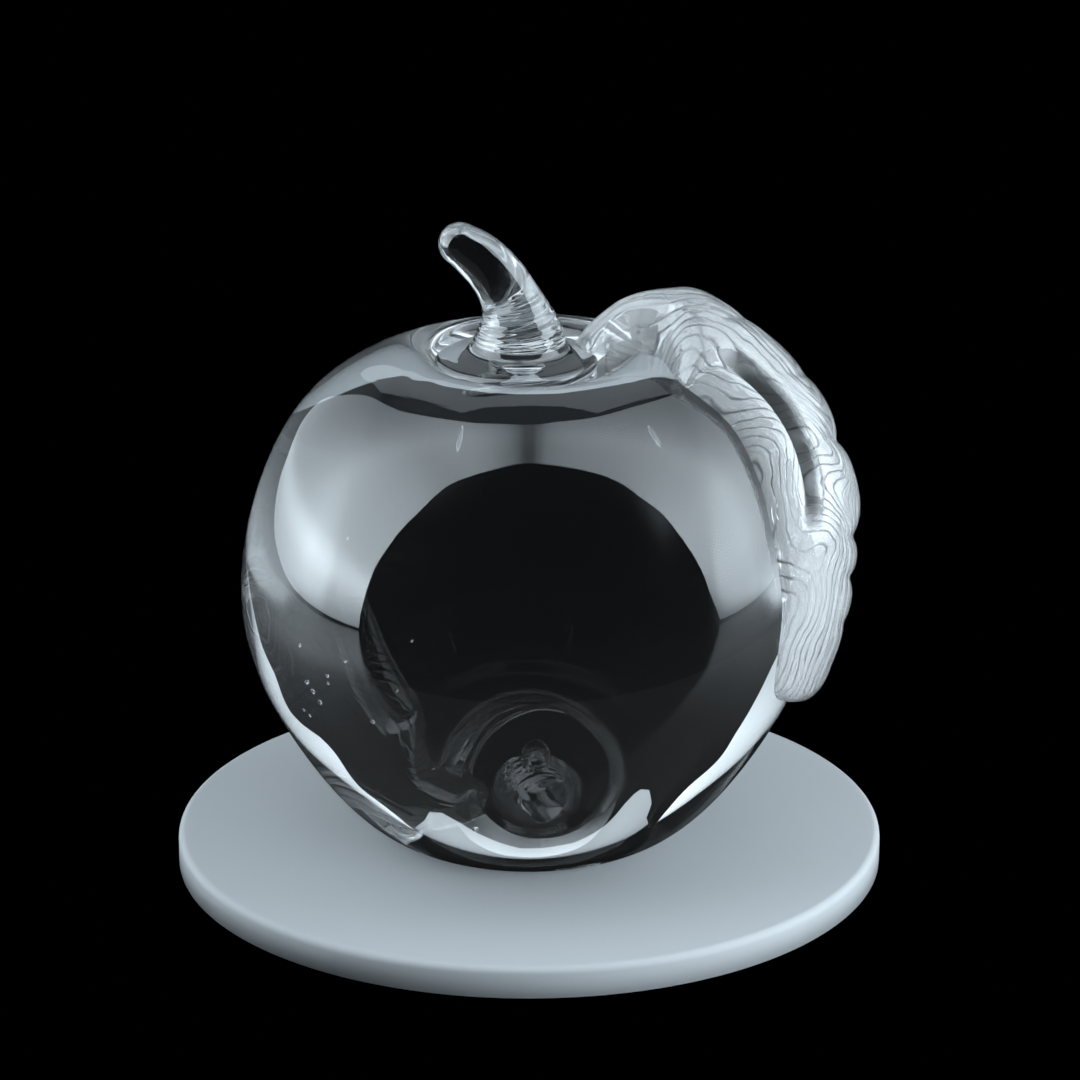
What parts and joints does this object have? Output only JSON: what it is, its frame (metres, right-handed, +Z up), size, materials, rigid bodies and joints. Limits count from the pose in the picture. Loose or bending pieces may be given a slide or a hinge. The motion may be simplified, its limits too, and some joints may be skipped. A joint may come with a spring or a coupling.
{
  "type": "glass apple paperweight",
  "caption": "Solid clear glass apple with a curved drawn stem and a thick pressed leaf over one shoulder; stands on a ground ring.",
  "frame": {"origin": "centre of the ground ring that the apple stands on, on the body's axis, at the resting plane", "axes": "+Z up along the body's axis; +X toward the leaf's side; -Y is the front, which the picture shows; the stem leans toward -X"},
  "size_m": [0.0988, 0.092, 0.1014],
  "materials": {
    "body_glass": "clear, fire polished",
    "stem_glass": "clear, fire polished, faint drawing rings",
    "leaf_glass": "clear, pressed and tooled, full of folds and cords"
  },
  "bodies": {
    "root": {"body": "body_glass", "stem": "stem_glass", "leaf": "leaf_glass"}
  },
  "joints": []
}
